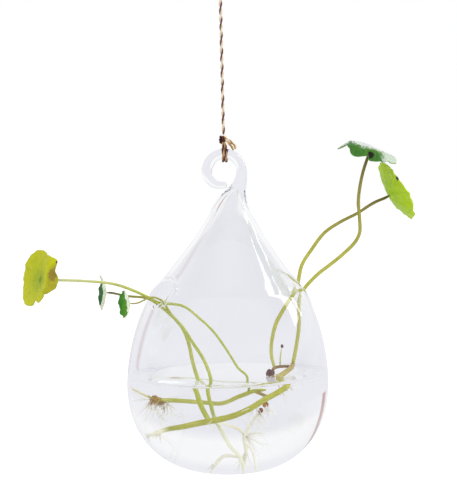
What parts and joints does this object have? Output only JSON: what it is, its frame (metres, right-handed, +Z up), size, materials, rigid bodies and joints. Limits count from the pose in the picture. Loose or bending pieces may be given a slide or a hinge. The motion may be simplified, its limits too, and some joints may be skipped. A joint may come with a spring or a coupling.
{
  "type": "hydroponic planter",
  "caption": "Hanging teardrop glass bulb with a curled glass hook and two side openings, holding water and a trailing water plant, on knotted twine.",
  "frame": {"origin": "the point where the twine's top loop rests on its nail, inside the top of the loop", "axes": "+Z up, +X to the right seen from the front, +Y to the back; the twine hangs straight down from the origin along -Z"},
  "size_m": [0.2311, 0.1202, 0.3161],
  "materials": {
    "twine": "two-ply twine, brown and cream",
    "twine_tail": "golden tan twine end",
    "knot": "tight dark red-brown twine",
    "glass": "clear blown glass, polished",
    "water": "clear water, flat on top",
    "runner": "plant stem, smooth and moist",
    "node": "brown plant node",
    "crown": "dark red-brown plant crown",
    "petiole": "yellow-green leaf stalk",
    "pale_root": "cream root",
    "yellow_leaf": "yellow-green leaf, waxy",
    "lime_leaf": "lime green leaf, waxy",
    "green_leaf": "deep green leaf, waxy"
  },
  "bodies": {
    "nail_loop": {"hanging_loop": "twine"},
    "top_knot": {"loop_knot": "knot"},
    "twine_drop": {"twine": "twine"},
    "hook_tie": {"hook_knot": "knot", "hook_wrap": "knot", "twine_tail": "twine_tail"},
    "planter": {"glass_vase": "glass", "water": "water", "lower_runner": "runner", "upper_runner": "runner", "left_node": "node", "thin_runner": "pale_root", "runner_link": "runner", "crown": "crown", "crown_stem": "node", "sprout": "petiole", "sprout_bud": "crown", "big_petiole": "petiole", "dark_petiole": "petiole", "small_petiole": "petiole", "lime_petiole": "petiole", "umbrella_petiole": "petiole", "big_leaf": "yellow_leaf", "dark_leaf": "green_leaf", "small_leaf": "green_leaf", "umbrella_leaf": "green_leaf", "lime_leaf": "lime_leaf", "upper_nodule": "node", "lower_nodule": "node", "middle_root": "pale_root", "arc_root": "pale_root", "right_root": "pale_root", "left_root": "pale_root"}
  },
  "joints": [
    {"name": "swing_front_back", "type": "hinge", "parent": "nail_loop", "child": "top_knot", "pos_m": [0, 0, -0.024], "axis": [1, 0, 0], "range_deg": [-45, 45]},
    {"name": "swing_sideways", "type": "hinge", "parent": "top_knot", "child": "twine_drop", "pos_m": [0, 0, -0.024], "axis": [0, 1, 0], "range_deg": [-45, 45]},
    {"name": "twine_twist", "type": "hinge", "parent": "twine_drop", "child": "hook_tie", "pos_m": [0, 0, -0.1141], "axis": [0, 0, 1], "continuous": true},
    {"name": "hook_rock", "type": "hinge", "parent": "hook_tie", "child": "planter", "pos_m": [0, 0, -0.1254], "axis": [1, 0, 0], "range_deg": [-30, 30]}
  ]
}
